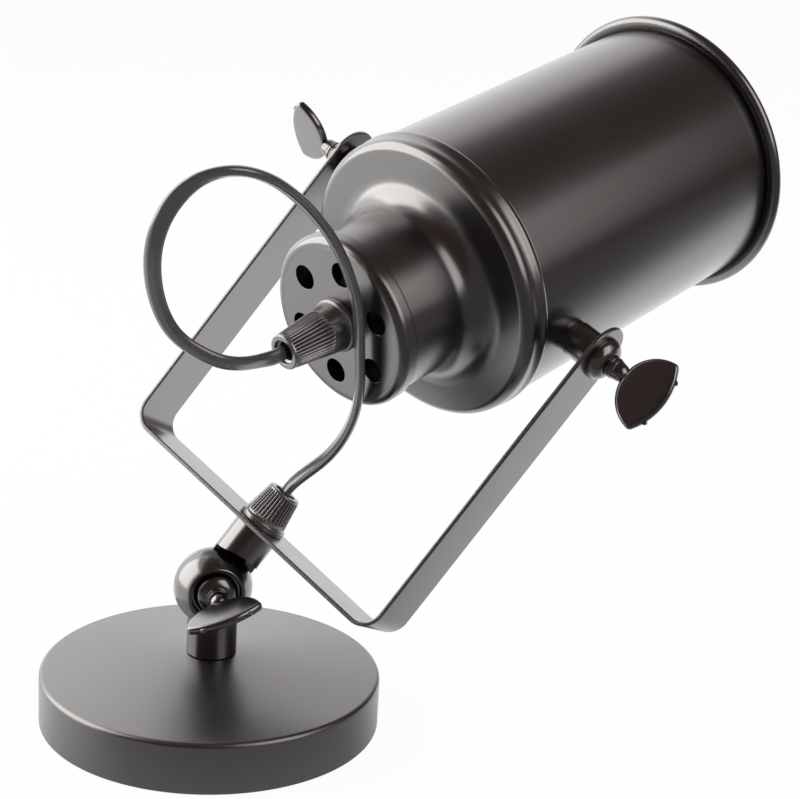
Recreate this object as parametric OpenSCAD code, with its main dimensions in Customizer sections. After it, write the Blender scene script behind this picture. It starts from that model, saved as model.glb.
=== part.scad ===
// Wall lamp: a spot shade held in a U shaped fork on a swivelling ball knuckle.
// Origin: centre of the canopy's wall face. Z points off the wall, and the knuckle's
// clamp screw faces -Y. All sizes are in millimetres and all angles in degrees.

/* [Rest pose] */
// Lean of the stem off the wall's normal
stem_lean = 35.7; // [0:0.1:45]
// Turn of the fork about the stem
fork_turn = 43.6; // [0:0.1:60]
// Tilt of the shade in the fork
shade_tilt = 45.4; // [-60:0.1:100]

/* [Canopy] */
// Outside diameter of the canopy
canopy_d = 120; // [90:1:160]
// Height of the canopy's edge off the wall
canopy_h = 18; // [16:0.5:30]
// Rise of the canopy's cone from its edge to its crown
canopy_rise = 6.5; // [2:0.1:10]
// Diameter of the flat crown the collar stands on
crown_d = 20; // [18:0.5:30]
// Sheet thickness of the canopy
canopy_wall = 1.6; // [1:0.1:3]
// Rounding of the canopy's front edge
canopy_edge_r = 1.8; // [1.7:0.1:4]

/* [Wall strap] */
// Length of the strap that is screwed to the wall
strap_l = 104; // [80:1:110]
// Width of the strap
strap_w = 20; // [14:1:30]
// Thickness of the strap
strap_t = 1.5; // [1:0.1:3]
// Clear height of the strap's raised middle over the wall
strap_rise = 9; // [7:0.5:12]
// Length of each foot that lies on the wall
strap_foot = 15; // [10:1:20]
// Distance between the two wall screw slots
wall_screw_pitch = 90; // [80:1:94]
// Width of the wall screw slots
wall_slot_w = 4.6; // [3.5:0.1:6]
// Length of the wall screw slots
wall_slot_l = 8; // [6:0.5:9]

/* [Threaded tubes and nuts] */
// Outside diameter of the threaded tubes
tube_thread_d = 10; // [8:0.5:12]
// Bore of the threaded tubes
tube_bore_d = 7; // [5:0.5:8]
// Thickness of the lock nuts on the threaded tubes
locknut_t = 2.6; // [2:0.1:5]
// Width across the flats of the lock nuts
locknut_af = 14; // [13:0.5:18]
// Length of the base tube inside the collar
base_tube_in_collar = 7.5; // [6:0.5:9]

/* [Terminal block] */
// Length of the terminal block
terminal_l = 20; // [14:0.5:24]
// Width of the terminal block
terminal_w = 16; // [10:0.5:20]
// Height of the terminal block
terminal_h = 7.6; // [5:0.2:8.4]
// Gap between the base tube's nut and the terminal block
terminal_gap = 2.5; // [1:0.5:5]
// Diameter of the terminal screws
terminal_screw_d = 3; // [2:0.1:4]
// Depth of the terminal screws' holes
terminal_screw_l = 1.8; // [1.3:0.1:2.2]
// Diameter of the wire ways through the terminal block
wire_way_d = 2.8; // [2:0.1:3]
// Diameter of the earth screw's head
earth_head_d = 7; // [5:0.5:9]
// Distance of the earth screw from the centre
earth_x = 24; // [18:0.5:30]

/* [Ball knuckle] */
// Height of the ball's centre over the wall
ball_z = 49; // [46:0.5:60]
// Diameter of the ball
ball_d = 27.6; // [24:0.1:32]
// Diameter of the collar
collar_d = 17.6; // [15:0.1:20]
// Diameter of the stem
stem_d = 16.8; // [15:0.1:20]
// Diameter of the flat round the clamp recess
recess_flat_d = 19.6; // [18:0.1:22]
// Diameter of the clamp recess
recess_d = 17.4; // [16:0.1:19]
// Depth of the clamp recess
recess_depth = 3.2; // [2:0.1:4.5]
// Clearance cut round each half of the ball for the other one
relief = 2.2; // [0.5:0.1:3]
// Depth of the wiring groove in each half of the ball
groove_depth = 2.3; // [1:0.1:3]
// Bore for the wires through collar and stem
wire_bore_d = 8; // [5:0.5:9]
// Distance from the ball's centre to the end of the stem
stem_reach = 26.2; // [26:0.1:40]
// Diameter of the spigot that carries the stem
spigot_d = 12.8; // [11:0.1:14]
// Distance from the ball's centre to the spigot's end
spigot_end = 18.2; // [17:0.1:18.5]

/* [Fork] */
// Distance between the shade's tube and the near arm of the fork
near_gap = 11.1; // [8:0.1:20]
// Distance between the shade's tube and the far arm of the fork
far_gap = 12; // [8:0.1:20]
// Distance from the fork's base to the shade's tilt axis
fork_reach = 118; // [112:0.5:140]
// Width of the fork's strip
strip_w = 21.8; // [16:0.1:30]
// Thickness of the fork's strip
strip_t = 1.6; // [1:0.1:3]
// Inner radius of the fork's two bends
bend_r = 7; // [2:0.5:10]
// How far the near arm's round end is set past the tilt axis
near_arm_over = 0.3; // [0:0.1:4]
// How far the far arm's round end is set past the tilt axis
far_arm_over = 1.6; // [0:0.1:4]
// Length of the threaded tube over the fork's base
fork_tube_over = 6; // [4:0.5:9]
// Length of the threaded tube inside the stem
fork_tube_under = 7.5; // [4:0.5:9]

/* [Cord grips] */
// Diameter of the fork grip's flange
fork_grip_d = 17.6; // [15:0.1:22]
// Diameter of the fork grip's small end
fork_grip_tip_d = 12; // [10:0.1:14]
// Length of the fork grip
fork_grip_l = 14; // [10:0.5:20]
// Diameter of the shade grip's flange
shade_grip_d = 18.4; // [15:0.1:22]
// Diameter of the shade grip's small end
shade_grip_tip_d = 11.8; // [10:0.1:14]
// Length of the shade grip
shade_grip_l = 24; // [16:0.5:30]
// Height of the plain flange on both grips
grip_flange_h = 2.4; // [1.5:0.1:4]
// Bore of the grips at their small end
grip_bore_d = 6.6; // [6:0.1:8]

/* [Shade] */
// Outside diameter of the shade's tube
shade_d = 97.6; // [80:0.2:110]
// Sheet thickness of the shade
shade_wall = 1.2; // [0.8:0.1:2]
// Distance from the tilt axis to the front end of the tube
shade_front = 101.5; // [80:0.5:120]
// Distance from the tilt axis to the rear end of the tube
shade_rear = 15.2; // [10:0.1:30]
// How far the front rim stands out from the tube
rim_over = 4.45; // [3.5:0.05:7]
// Length of the flared front rim
rim_l = 7.5; // [7:0.1:9]
// Radius of the fillet between tube and rim
rim_fillet_r = 1.8; // [1.2:0.1:2.4]
// Radius of the rolled bead on the rim
rim_bead_r = 2.1; // [1.6:0.1:2.6]

/* [Rear cap] */
// Distance from the tilt axis to the cap's flat ring
cap_face = 25.5; // [20:0.1:40]
// How far the cap's rounded shoulder stands out from the tube
shoulder_over = 0.6; // [0:0.1:2]
// Radius of the cap's rounded shoulder
shoulder_r = 3.6; // [1.5:0.1:4]
// How far the shallow valley between shoulder and bead stands out from the tube
valley_over = 0.4; // [0:0.1:0.5]
// How far the bead beside the tube stands out from it
bead_over = 1.1; // [0.3:0.1:2]
// Radius of the bead's section
bead_r = 1.9; // [1.3:0.1:3]
// Distance from the tilt axis to the bead
bead_at = 16.9; // [15:0.1:20]
// Diameter of the cap's neck
neck_d = 57.2; // [50:0.2:64]
// Radius of the flare between neck and flat ring
flare_r = 9.5; // [5:0.5:14]
// Length of the neck and the cup behind the flat ring
neck_l = 36.3; // [30:0.1:45]
// Diameter of the cup behind the neck
cup_d = 59.8; // [58:0.1:66]
// Length of the cup
cup_l = 6.6; // [5.5:0.1:10]
// Radius of the cup's rounded rear edge
cup_edge_r = 3; // [1.5:0.1:3.5]
// Length of the lip that centres the tube on the cap
cap_lip_l = 6; // [3:0.5:10]

/* [Rear cover] */
// Diameter of the vented cover
cover_d = 53.2; // [50:0.1:54]
// Thickness of the vented cover
cover_t = 1.4; // [1:0.1:2]
// Width of the ledge under the cover's edge
cover_ledge = 1.8; // [1:0.1:2]
// Diameter of each vent hole
vent_d = 8.5; // [5:0.1:9]
// Radius of the circle of vent holes
vent_circle_r = 19; // [17:0.1:20]
// Number of vent holes
vent_count = 6; // [4:1:6]
// Turn of the circle of vent holes
vent_turn = 52; // [0:1:60]

/* [Lamp holder] */
// Diameter of the lamp holder's body
holder_d = 39; // [36:0.5:42]
// Length of the lamp holder's body
holder_l = 30; // [24:0.5:36]
// Length of the lamp holder's cap
holder_cap_l = 18; // [12:0.5:22]
// Inside diameter of the screw shell
shell_d = 26.6; // [26.4:0.1:27]
// Sheet thickness of the screw shell
shell_t = 0.4; // [0.3:0.05:0.8]
// Depth of the lamp holder's mouth
shell_depth = 24; // [20:0.5:26]
// Diameter of the centre contact
contact_d = 9; // [6:0.5:12]
// Height of the centre contact
contact_h = 2; // [1:0.1:3]
// Width of the ring on the holder's front edge
holder_ring_w = 5; // [3:0.5:8]

/* [Trunnions] */
// Diameter of the spacers between shade and fork
spacer_d = 12.6; // [10:0.1:16]
// Diameter of the wing screws' shanks
shank_d = 6; // [4:0.5:7]
// Height of the nuts inside the shade
trunnion_nut_h = 4.6; // [3:0.1:6]
// Width across the flats of the nuts inside the shade
trunnion_nut_af = 10; // [8:0.5:14]

/* [Wing screws] */
// Diameter of the domed washers
dome_d = 15.4; // [12:0.1:16.8]
// Height of the domed washers
dome_h = 4.4; // [4.2:0.1:5]
// Radius of the domed washers' round shoulder
dome_round = 4.2; // [3:0.1:4.2]
// Diameter of the wing screws' necks
neck_pin_d = 7.8; // [7:0.1:10]
// Diameter of the round end of the wing screws' necks
neck_end_d = 6.4; // [6:0.1:8]
// Distance from a wing screw's seat to the centre of its round end
neck_pin_l = 8.4; // [8:0.1:12]
// Length of the collar under the neck's groove
neck_collar_l = 0.9; // [0.6:0.1:1.4]
// Width of the neck's groove
neck_groove_w = 0.5; // [0.3:0.1:0.8]
// Depth of the neck's groove
neck_groove_depth = 0.5; // [0.3:0.1:0.8]
// Radius of a wing's round inner outline
wing_r = 13.2; // [10:0.1:16]
// Radius of a wing's flatter outer outline
wing_outer_r = 22.5; // [18:0.5:30]
// Distance from a wing screw's seat to the wing's outer edge
wing_end = 27.2; // [22:0.1:32]
// Distance from a wing screw's seat to the centre of the round inner outline
wing_centre = 23.3; // [18:0.1:26]
// Thickness of a wing
wing_t = 3; // [1.5:0.1:4]
// Distance of the two small nibs on a wing's outer edge from its middle
nib_at = 8; // [5:0.1:10]
// Radius of the nibs
nib_r = 1; // [0.6:0.1:1.5]
// Thickness of the nibs
nib_t = 1.4; // [0.8:0.1:3]
// Turn of the knuckle's wing
knuckle_wing_turn = 19; // [0:1:180]
// Turn of the near wing
near_wing_turn = 0; // [0:1:180]
// Turn of the far wing
far_wing_turn = 120; // [0:1:180]

/* [Cord] */
// Width of the flat cord
cord_w = 5.4; // [4:0.1:6]
// Thickness of the flat cord
cord_t = 3.3; // [2.5:0.1:4]

/* [Hidden] */
$fn = 96;
// Clearance between pieces that move past each other
move_gap = 0.3;
// Clearance round shanks and threaded tubes that turn
turn_gap = 0.3;
// Clearance under the domed washers, which turn with their screws
seat_gap = 0.15;
// Clearance of the cap's lip in the tube, and of the cover in the cap
lip_gap = 0.05;
cover_gap = 0.1;
// Clearance between the lamp holder and the lock nut behind it
holder_gap = 0.4;
eps = 0.01;

collar_r = collar_d / 2;
stem_r = stem_d / 2;
ball_r = ball_d / 2;
canopy_r = canopy_d / 2;
crown_r = crown_d / 2;
crown_z = canopy_h + canopy_rise;
canopy_slope = atan(canopy_rise / (canopy_r - crown_r));
collar_foot = crown_z + move_gap;
strap_top = strap_rise + strap_t;
tube_r = tube_thread_d / 2;
base_tube_rear = strap_rise - locknut_t;
base_tube_end = crown_z + base_tube_in_collar;
base_tube_bore = tube_r + turn_gap;
half_split = move_gap / 2;
shank_r = shank_d / 2;
shank_hole_r = shank_r + turn_gap;
groove_wall = 1.4;
groove_in = shank_hole_r + groove_wall;
groove_out = recess_d / 2 + 0.6;
ball_skin = 3.2;
blind_end = ball_r - ball_skin;
recess_flat_y = sqrt(ball_r * ball_r - pow(recess_flat_d / 2, 2));
recess_floor = recess_flat_y - recess_depth;
relief_r = ball_r + relief;
near_inner = shade_d / 2 + near_gap;
near_outer = near_inner + strip_t;
far_inner = shade_d / 2 + far_gap;
far_outer = far_inner + strip_t;
fork_w = near_outer + far_outer;
bar_in = stem_reach + strip_t;
tilt_z = bar_in + fork_reach;
arm_end_r = strip_w / 2;
grip_seat = bar_in;
shade_r = shade_d / 2;
shade_in = shade_r - shade_wall;
rim_r = shade_r + rim_over;
shoulder_far_r = shade_r + shoulder_over;
bead_far_r = shade_r + bead_over;
cap_rear = cap_face + neck_l;
neck_r = neck_d / 2;
cup_r = cup_d / 2;
cup_front = cap_rear - cup_l;
flare_c = [neck_r + flare_r, -cap_face - flare_r];
cover_r = cover_d / 2;
cover_hole = cover_r + cover_gap;
ledge_r = cover_hole - cover_ledge;
ledge_t = 1.6;
holder_rear = cap_rear - cover_t - locknut_t - holder_gap;
holder_joint = holder_rear - holder_cap_l;
holder_front = holder_joint - holder_l;
shell_r = shell_d / 2;
holder_bore = shell_r + shell_t;
shell_floor = holder_front + shell_depth;
nut_seat = sqrt(shade_in * shade_in - pow(trunnion_nut_af / sqrt(3), 2));
shank_in = nut_seat - trunnion_nut_h;
// The nibs' centres lie just inside the outer outline
nib_depth = wing_outer_r - sqrt(wing_outer_r * wing_outer_r - nib_at * nib_at) + 0.2;
strap_half = strap_l / 2;
terminal_x = locknut_af / sqrt(3) + terminal_gap;

function rot_y(a, p) = [cos(a) * p[0] + sin(a) * p[2], p[1], -sin(a) * p[0] + cos(a) * p[2]];
function rot_z(a, p) = [cos(a) * p[0] - sin(a) * p[1], sin(a) * p[0] + cos(a) * p[1], p[2]];
function stem_point(z) = [0, 0, ball_z] + rot_y(stem_lean, [0, 0, z]);
function shade_point(z) =
    [0, 0, ball_z]
    + rot_y(stem_lean, rot_z(fork_turn, [0, 0, tilt_z] + rot_y(shade_tilt, [0, 0, z])));

// Places of the moving frames
module at_knuckle() translate([0, 0, ball_z]) children();
module at_stem() at_knuckle() rotate([0, stem_lean, 0]) children();
module at_fork() at_stem() rotate([0, 0, fork_turn]) children();
module at_shade() at_fork() translate([0, 0, tilt_z]) rotate([0, shade_tilt, 0]) children();

module dark() color([0.16, 0.16, 0.17]) children();
module steel() color([0.62, 0.62, 0.6]) children();
module brass() color([0.8, 0.66, 0.32]) children();
module plastic() color([0.25, 0.25, 0.26]) children();
module ceramic() color([0.9, 0.9, 0.87]) children();

module ring(outer, inner, z0, z1) {
    translate([0, 0, z0])
    difference() {
        cylinder(r = outer, h = z1 - z0);
        translate([0, 0, -eps])
        cylinder(r = inner, h = z1 - z0 + 2 * eps);
    }
}

module hex_nut(af, bore, z0, z1) {
    translate([0, 0, z0])
    difference() {
        cylinder(r = af / sqrt(3), h = z1 - z0, $fn = 6);
        translate([0, 0, -eps])
        cylinder(r = bore, h = z1 - z0 + 2 * eps);
    }
}

// Canopy: a turned shell with a low cone, open towards the wall
module canopy() {
    edge_c = [
        canopy_r - canopy_edge_r,
        canopy_h + canopy_edge_r * tan(canopy_slope) - canopy_edge_r / cos(canopy_slope)
    ];
    dark()
    rotate_extrude()
    difference() {
        union() {
            polygon([
                [0, 0], [canopy_r, 0], [canopy_r, edge_c[1]],
                edge_c + canopy_edge_r * [sin(canopy_slope), cos(canopy_slope)],
                [crown_r, crown_z], [0, crown_z]
            ]);
            translate(edge_c)
            circle(r = canopy_edge_r);
        }
        polygon([
            [-eps, -eps], [canopy_r - canopy_wall, -eps],
            [canopy_r - canopy_wall, canopy_h - canopy_wall],
            [crown_r, crown_z - canopy_wall], [-eps, crown_z - canopy_wall]
        ]);
        square([tube_r, crown_z + 1]);
    }
}

// Wall strap: a hat shaped strip with two slotted feet
module wall_strap() {
    steel()
    difference() {
        rotate([90, 0, 0])
        translate([0, 0, -strap_w / 2])
        linear_extrude(strap_w)
        polygon([
            [-strap_half, 0], [-strap_half + strap_foot, 0],
            [-strap_half + strap_foot, strap_rise], [strap_half - strap_foot, strap_rise],
            [strap_half - strap_foot, 0], [strap_half, 0],
            [strap_half, strap_t], [strap_half - strap_foot + strap_t, strap_t],
            [strap_half - strap_foot + strap_t, strap_top],
            [-strap_half + strap_foot - strap_t, strap_top],
            [-strap_half + strap_foot - strap_t, strap_t], [-strap_half, strap_t]
        ]);
        for (side = [-1, 1])
        translate([side * wall_screw_pitch / 2, 0, -eps]) {
            for (end = [-1, 1])
            translate([end * (wall_slot_l - wall_slot_w) / 2, 0, 0])
            cylinder(r = wall_slot_w / 2, h = strap_t + 2 * eps);
            translate([-(wall_slot_l - wall_slot_w) / 2, -wall_slot_w / 2, 0])
            cube([wall_slot_l - wall_slot_w, wall_slot_w, strap_t + 2 * eps]);
        }
        translate([0, 0, strap_rise - eps])
        cylinder(r = tube_r, h = strap_t + 2 * eps);
        translate([-earth_x, 0, strap_rise - eps])
        cylinder(r = 1.5, h = strap_t + 2 * eps);
    }
}

module base_tube() {
    steel()
    ring(tube_r, tube_bore_d / 2, base_tube_rear, base_tube_end);
}

module rear_locknut() {
    steel()
    hex_nut(locknut_af, tube_r, strap_rise - locknut_t, strap_rise);
}

module front_locknut() {
    steel()
    hex_nut(locknut_af, tube_r, strap_top, strap_top + locknut_t);
}

// Terminal block under the strap's raised middle, with a wire way for each pole
terminal_poles = [terminal_x + terminal_l / 4, terminal_x + 3 * terminal_l / 4];

module terminal_block() {
    color([0.93, 0.92, 0.88])
    difference() {
        translate([terminal_x, -terminal_w / 2, strap_rise - terminal_h])
        cube([terminal_l, terminal_w, terminal_h]);
        for (x = terminal_poles) {
            translate([x, terminal_w / 2 + eps, strap_rise - terminal_h / 2])
            rotate([90, 0, 0])
            cylinder(r = wire_way_d / 2, h = terminal_w + 2 * eps);
            for (i = [-1, 1])
            translate([x, i * terminal_w / 4, strap_rise - terminal_h - eps])
            cylinder(r = terminal_screw_d / 2, h = terminal_screw_l);
        }
    }
}

module terminal_screws() {
    brass()
    for (x = terminal_poles, i = [-1, 1])
    translate([x, i * terminal_w / 4, strap_rise - terminal_h + terminal_screw_l - 1.2 - eps])
    cylinder(r = terminal_screw_d / 2, h = 1.2);
}

module earth_screw() {
    brass()
    translate([-earth_x, 0, 0]) {
        translate([0, 0, strap_rise - 3])
        cylinder(r = 1.5, h = 3 + strap_t);
        difference() {
            translate([0, 0, strap_top])
            cylinder(r = earth_head_d / 2, h = 2);
            translate([-earth_head_d, -0.4, strap_top + 1])
            cube([2 * earth_head_d, 0.8, 2]);
        }
    }
}

// Clears one side of a half for the other half to swing past it
module relief_cut(side) {
    rotate([90 * side, 0, 0])
    translate([0, 0, -half_split])
    cylinder(r = relief_r, h = ball_d);
}

// Front half of the ball with the collar that stands on the canopy
module knuckle_lower() {
    dark()
    difference() {
        union() {
            difference() {
                translate([0, 0, collar_foot])
                cylinder(r = collar_r, h = ball_z - collar_foot);
                at_knuckle()
                relief_cut(-1);
            }
            at_knuckle()
            intersection() {
                sphere(r = ball_r);
                translate([-ball_d, -recess_flat_y, -ball_d])
                cube([2 * ball_d, recess_flat_y - half_split, 2 * ball_d]);
            }
        }
        at_knuckle()
        rotate([90, 0, 0]) {
            translate([0, 0, recess_floor])
            cylinder(r = recess_d / 2, h = ball_r);
            translate([0, 0, -eps])
            cylinder(r = shank_hole_r, h = ball_r);
            ring(groove_out, groove_in, -ball_r, half_split + groove_depth);
        }
        translate([0, 0, collar_foot - eps])
        cylinder(r = base_tube_bore, h = base_tube_in_collar + 1);
        cylinder(r = wire_bore_d / 2, h = ball_z - groove_in - 1);
    }
}

// Rear half of the ball with the spigot that carries the stem
module knuckle_upper() {
    dark()
    at_stem()
    difference() {
        union() {
            intersection() {
                sphere(r = ball_r);
                translate([-ball_d, half_split, -ball_d])
                cube(2 * ball_d);
            }
            difference() {
                cylinder(r = spigot_d / 2, h = spigot_end);
                relief_cut(1);
            }
        }
        rotate([-90, 0, 0]) {
            cylinder(r = shank_hole_r, h = blind_end);
            ring(groove_out, groove_in, -ball_r, half_split + groove_depth);
        }
        translate([0, 0, groove_in + 1])
        cylinder(r = wire_bore_d / 2, h = ball_r + spigot_end);
    }
}

// Stem sleeve between the ball and the fork
module stem_sleeve() {
    dark()
    at_stem()
    difference() {
        cylinder(r = stem_r, h = stem_reach - move_gap);
        sphere(r = ball_r);
        relief_cut(1);
        cylinder(r = spigot_d / 2, h = spigot_end);
        translate([0, 0, spigot_end - eps])
        cylinder(r = tube_r + turn_gap, h = stem_reach);
    }
}

// Fork: one flat strip bent to a U, with round arm ends
module fork_profile(near, far, floor_z, corner) {
    translate([-near, floor_z + corner])
    square([near + far, tilt_z + strip_w - floor_z - corner]);
    translate([-near + corner, floor_z])
    square([near + far - 2 * corner, corner + eps]);
    for (y = [-near + corner, far - corner])
    translate([y, floor_z + corner])
    circle(r = corner);
}

// Room for one arm: its straight length and its round end
module arm_room(side, over) {
    translate([-strip_w / 2, side > 0 ? -eps : -fork_w, 0])
    cube([strip_w, fork_w + eps, tilt_z + over]);
    translate([0, side > 0 ? fork_w : 0, tilt_z + over])
    rotate([90, 0, 0])
    cylinder(r = arm_end_r, h = fork_w);
}

module fork() {
    dark()
    at_fork()
    difference() {
        intersection() {
            rotate([90, 0, 90])
            translate([0, 0, -strip_w / 2])
            linear_extrude(strip_w)
            difference() {
                fork_profile(near_outer, far_outer, stem_reach, bend_r + strip_t);
                fork_profile(near_inner, far_inner, bar_in, bend_r);
            }
            union() {
                arm_room(-1, near_arm_over);
                arm_room(1, far_arm_over);
            }
        }
        cylinder(r = tube_r, h = bar_in + 1);
        translate([0, fork_w, tilt_z])
        rotate([90, 0, 0])
        cylinder(r = shank_hole_r, h = 2 * fork_w);
    }
}

module fork_tube() {
    steel()
    at_fork()
    ring(tube_r, tube_bore_d / 2, stem_reach - fork_tube_under, bar_in + fork_tube_over);
}

// Ribbed cord grip, drawn plain: flange, taper and bore
module grip(flange_d, tip_d, length, seat_depth) {
    difference() {
        union() {
            cylinder(r = flange_d / 2, h = grip_flange_h);
            cylinder(r1 = flange_d / 2 - 0.5, r2 = tip_d / 2, h = length);
        }
        translate([0, 0, -eps])
        cylinder(r = tube_r, h = seat_depth + eps);
        translate([0, 0, -eps])
        cylinder(r = grip_bore_d / 2, h = length + 2 * eps);
    }
}

module fork_grip() {
    plastic()
    at_fork()
    translate([0, 0, grip_seat])
    grip(fork_grip_d, fork_grip_tip_d, fork_grip_l, fork_tube_over);
}

module shade_grip() {
    plastic()
    at_shade()
    translate([0, 0, -cap_rear])
    rotate([180, 0, 0])
    grip(shade_grip_d, shade_grip_tip_d, shade_grip_l, fork_tube_over);
}

// Shade tube with a hole for each wing screw
module shade_tube() {
    dark()
    at_shade()
    difference() {
        ring(shade_r, shade_in, -shade_rear, shade_front);
        translate([0, shade_d, 0])
        rotate([90, 0, 0])
        cylinder(r = shank_hole_r, h = 2 * shade_d);
    }
}

// Front rim: the sheet turns outwards round a fillet and ends in a rolled bead
module front_rim() {
    bead_c = [rim_r - rim_bead_r, shade_front + rim_l - rim_bead_r];
    over = bead_c[0] - shade_r - rim_fillet_r;
    rise = sqrt(pow(rim_fillet_r + rim_bead_r, 2) - over * over);
    fillet_c = [shade_r + rim_fillet_r, bead_c[1] - rise];
    outside = rim_fillet_r + shade_wall;
    dark()
    at_shade()
    rotate_extrude() {
        translate([shade_in, shade_front])
        square([shade_wall, fillet_c[1] - shade_front + eps]);
        intersection() {
            translate(fillet_c)
            difference() {
                circle(r = outside);
                circle(r = rim_fillet_r);
            }
            polygon([
                fillet_c, fillet_c - [outside, 0], fillet_c + [-outside, outside],
                fillet_c + outside * [over, rise] / rise
            ]);
        }
        translate(bead_c)
        circle(r = rim_bead_r);
    }
}

// Spun rear cap: lip, bead, shoulder and flat ring
module rear_cap() {
    bead_c = bead_far_r - bead_r;
    shoulder_c = [shoulder_far_r - shoulder_r, -cap_face + shoulder_r];
    lip_r = shade_in - lip_gap;
    dark()
    at_shade()
    rotate_extrude()
    difference() {
        union() {
            translate([flare_c[0], -cap_face])
            square([shoulder_c[0] - flare_c[0], cap_face - shade_rear]);
            translate([flare_c[0], shoulder_c[1]])
            square([shade_r - shade_wall / 4 - flare_c[0], -shade_rear - shoulder_c[1]]);
            translate([flare_c[0], shoulder_c[1]])
            square([shade_r + valley_over - flare_c[0], -bead_at - shoulder_c[1]]);
            translate(shoulder_c)
            circle(r = shoulder_r);
            translate([bead_c, -bead_at])
            circle(r = bead_r);
            translate([lip_r - shade_wall, -shade_rear - shade_wall])
            square([shade_wall, cap_lip_l + shade_wall]);
        }
        translate([flare_c[0] - eps, -cap_face + shade_wall])
        square([lip_r - shade_wall - flare_c[0] + eps, cap_face + cap_lip_l]);
        translate([lip_r, -shade_rear])
        square([bead_far_r, cap_lip_l + 1]);
    }
}

// Flared neck on the cap's flat ring, with the cup that holds the cover
module rear_neck() {
    flare_out = flare_r + shade_wall;
    dark()
    at_shade()
    rotate_extrude() {
        intersection() {
            translate(flare_c)
            difference() {
                circle(r = flare_out);
                circle(r = flare_r);
            }
            translate([0, flare_c[1]])
            square([flare_c[0], 2 * flare_out]);
        }
        difference() {
            union() {
                translate([ledge_r, -cap_rear + cup_edge_r])
                square([cup_r - ledge_r, cup_l - cup_edge_r]);
                translate([ledge_r, -cap_rear])
                square([cup_r - cup_edge_r - ledge_r, cup_l]);
                translate([cup_r - cup_edge_r, -cap_rear + cup_edge_r])
                circle(r = cup_edge_r);
                translate([ledge_r, -cup_front])
                square([neck_r - ledge_r, cup_front + flare_c[1]]);
            }
            translate([0, -cap_rear - 1])
            square([ledge_r, cap_rear]);
            translate([0, -cap_rear - 1])
            square([cover_hole, cover_t + 1]);
            translate([0, -cap_rear + cover_t + ledge_t])
            square([neck_r - shade_wall, cap_rear]);
        }
    }
}

// Flat vented cover in the rear of the cup
module rear_cover() {
    dark()
    at_shade()
    difference() {
        translate([0, 0, -cap_rear])
        cylinder(r = cover_r, h = cover_t);
        for (i = [0 : vent_count - 1])
        rotate([0, 0, vent_turn + i * 360 / vent_count])
        translate([vent_circle_r, 0, -cap_rear - 1])
        cylinder(r = vent_d / 2, h = cover_t + 2);
        translate([0, 0, -cap_rear - 1])
        cylinder(r = tube_r, h = cover_t + 2);
    }
}

module shade_tube_nipple() {
    steel()
    at_shade()
    ring(tube_r, tube_bore_d / 2, -cap_rear - fork_tube_over, -holder_rear + 4);
}

module cover_locknut() {
    steel()
    at_shade()
    hex_nut(locknut_af, tube_r, -cap_rear + cover_t, -cap_rear + cover_t + locknut_t);
}

// Lamp holder: domed cap, body, front ring, screw shell and contacts
module holder_cap() {
    color([0.12, 0.12, 0.13])
    at_shade()
    translate([0, 0, -holder_rear])
    difference() {
        cylinder(r1 = tube_r + 3, r2 = holder_d / 2, h = holder_cap_l);
        translate([0, 0, -eps])
        cylinder(r = tube_r, h = 4);
        translate([0, 0, 4 - 2 * eps])
        cylinder(r1 = tube_r, r2 = holder_d / 2 - 2.5, h = holder_cap_l - 4 + 4 * eps);
    }
}

module holder_body() {
    color([0.12, 0.12, 0.13])
    at_shade()
    difference() {
        translate([0, 0, -holder_joint])
        cylinder(r = holder_d / 2, h = holder_l);
        translate([0, 0, -shell_floor])
        cylinder(r = holder_bore, h = shell_depth + 1);
        translate([0, 0, -shell_floor - contact_h])
        cylinder(r = contact_d / 2 + 1, h = contact_h + 1);
    }
}

module holder_ring() {
    color([0.12, 0.12, 0.13])
    at_shade()
    ring(holder_d / 2 + 2, holder_d / 2, -holder_front - 1 - holder_ring_w, -holder_front - 1);
}

module screw_shell() {
    brass()
    at_shade()
    difference() {
        translate([0, 0, -shell_floor])
        cylinder(r = holder_bore, h = shell_depth - 2);
        translate([0, 0, -shell_floor + shell_t])
        cylinder(r = shell_r, h = shell_depth);
        translate([0, 0, -shell_floor - 1])
        cylinder(r = contact_d / 2 + 1, h = 3);
    }
}

module centre_contact() {
    brass()
    at_shade()
    translate([0, 0, -shell_floor - contact_h])
    cylinder(r = contact_d / 2, h = contact_h);
}

// Spacers, saddle cut to sit on the shade's tube
module spacer(side, reach) {
    dark()
    at_shade()
    rotate([-90 * side, 0, 0])
    difference() {
        translate([0, 0, shade_in])
        cylinder(r = spacer_d / 2, h = reach - move_gap - shade_in);
        rotate([90, 0, 0])
        translate([0, 0, -shade_d])
        cylinder(r = shade_r, h = 2 * shade_d);
        cylinder(r = shank_hole_r, h = fork_w);
    }
}

module near_spacer() spacer(-1, near_inner);
module far_spacer() spacer(1, far_inner);

module trunnion_nut(side) {
    steel()
    at_shade()
    rotate([-90 * side, 0, 0])
    hex_nut(trunnion_nut_af, shank_hole_r, shank_in, nut_seat);
}

module near_nut() trunnion_nut(-1);
module far_nut() trunnion_nut(1);

// Domed washer under a wing screw
module domed_washer() {
    shoulder = dome_d / 2 - dome_round;
    rotate_extrude()
    intersection() {
        union() {
            translate([shoulder, dome_h - dome_round])
            circle(r = dome_round);
            square([shoulder, dome_h]);
        }
        translate([shank_r, 0])
        square([dome_d, dome_h]);
    }
}

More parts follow.
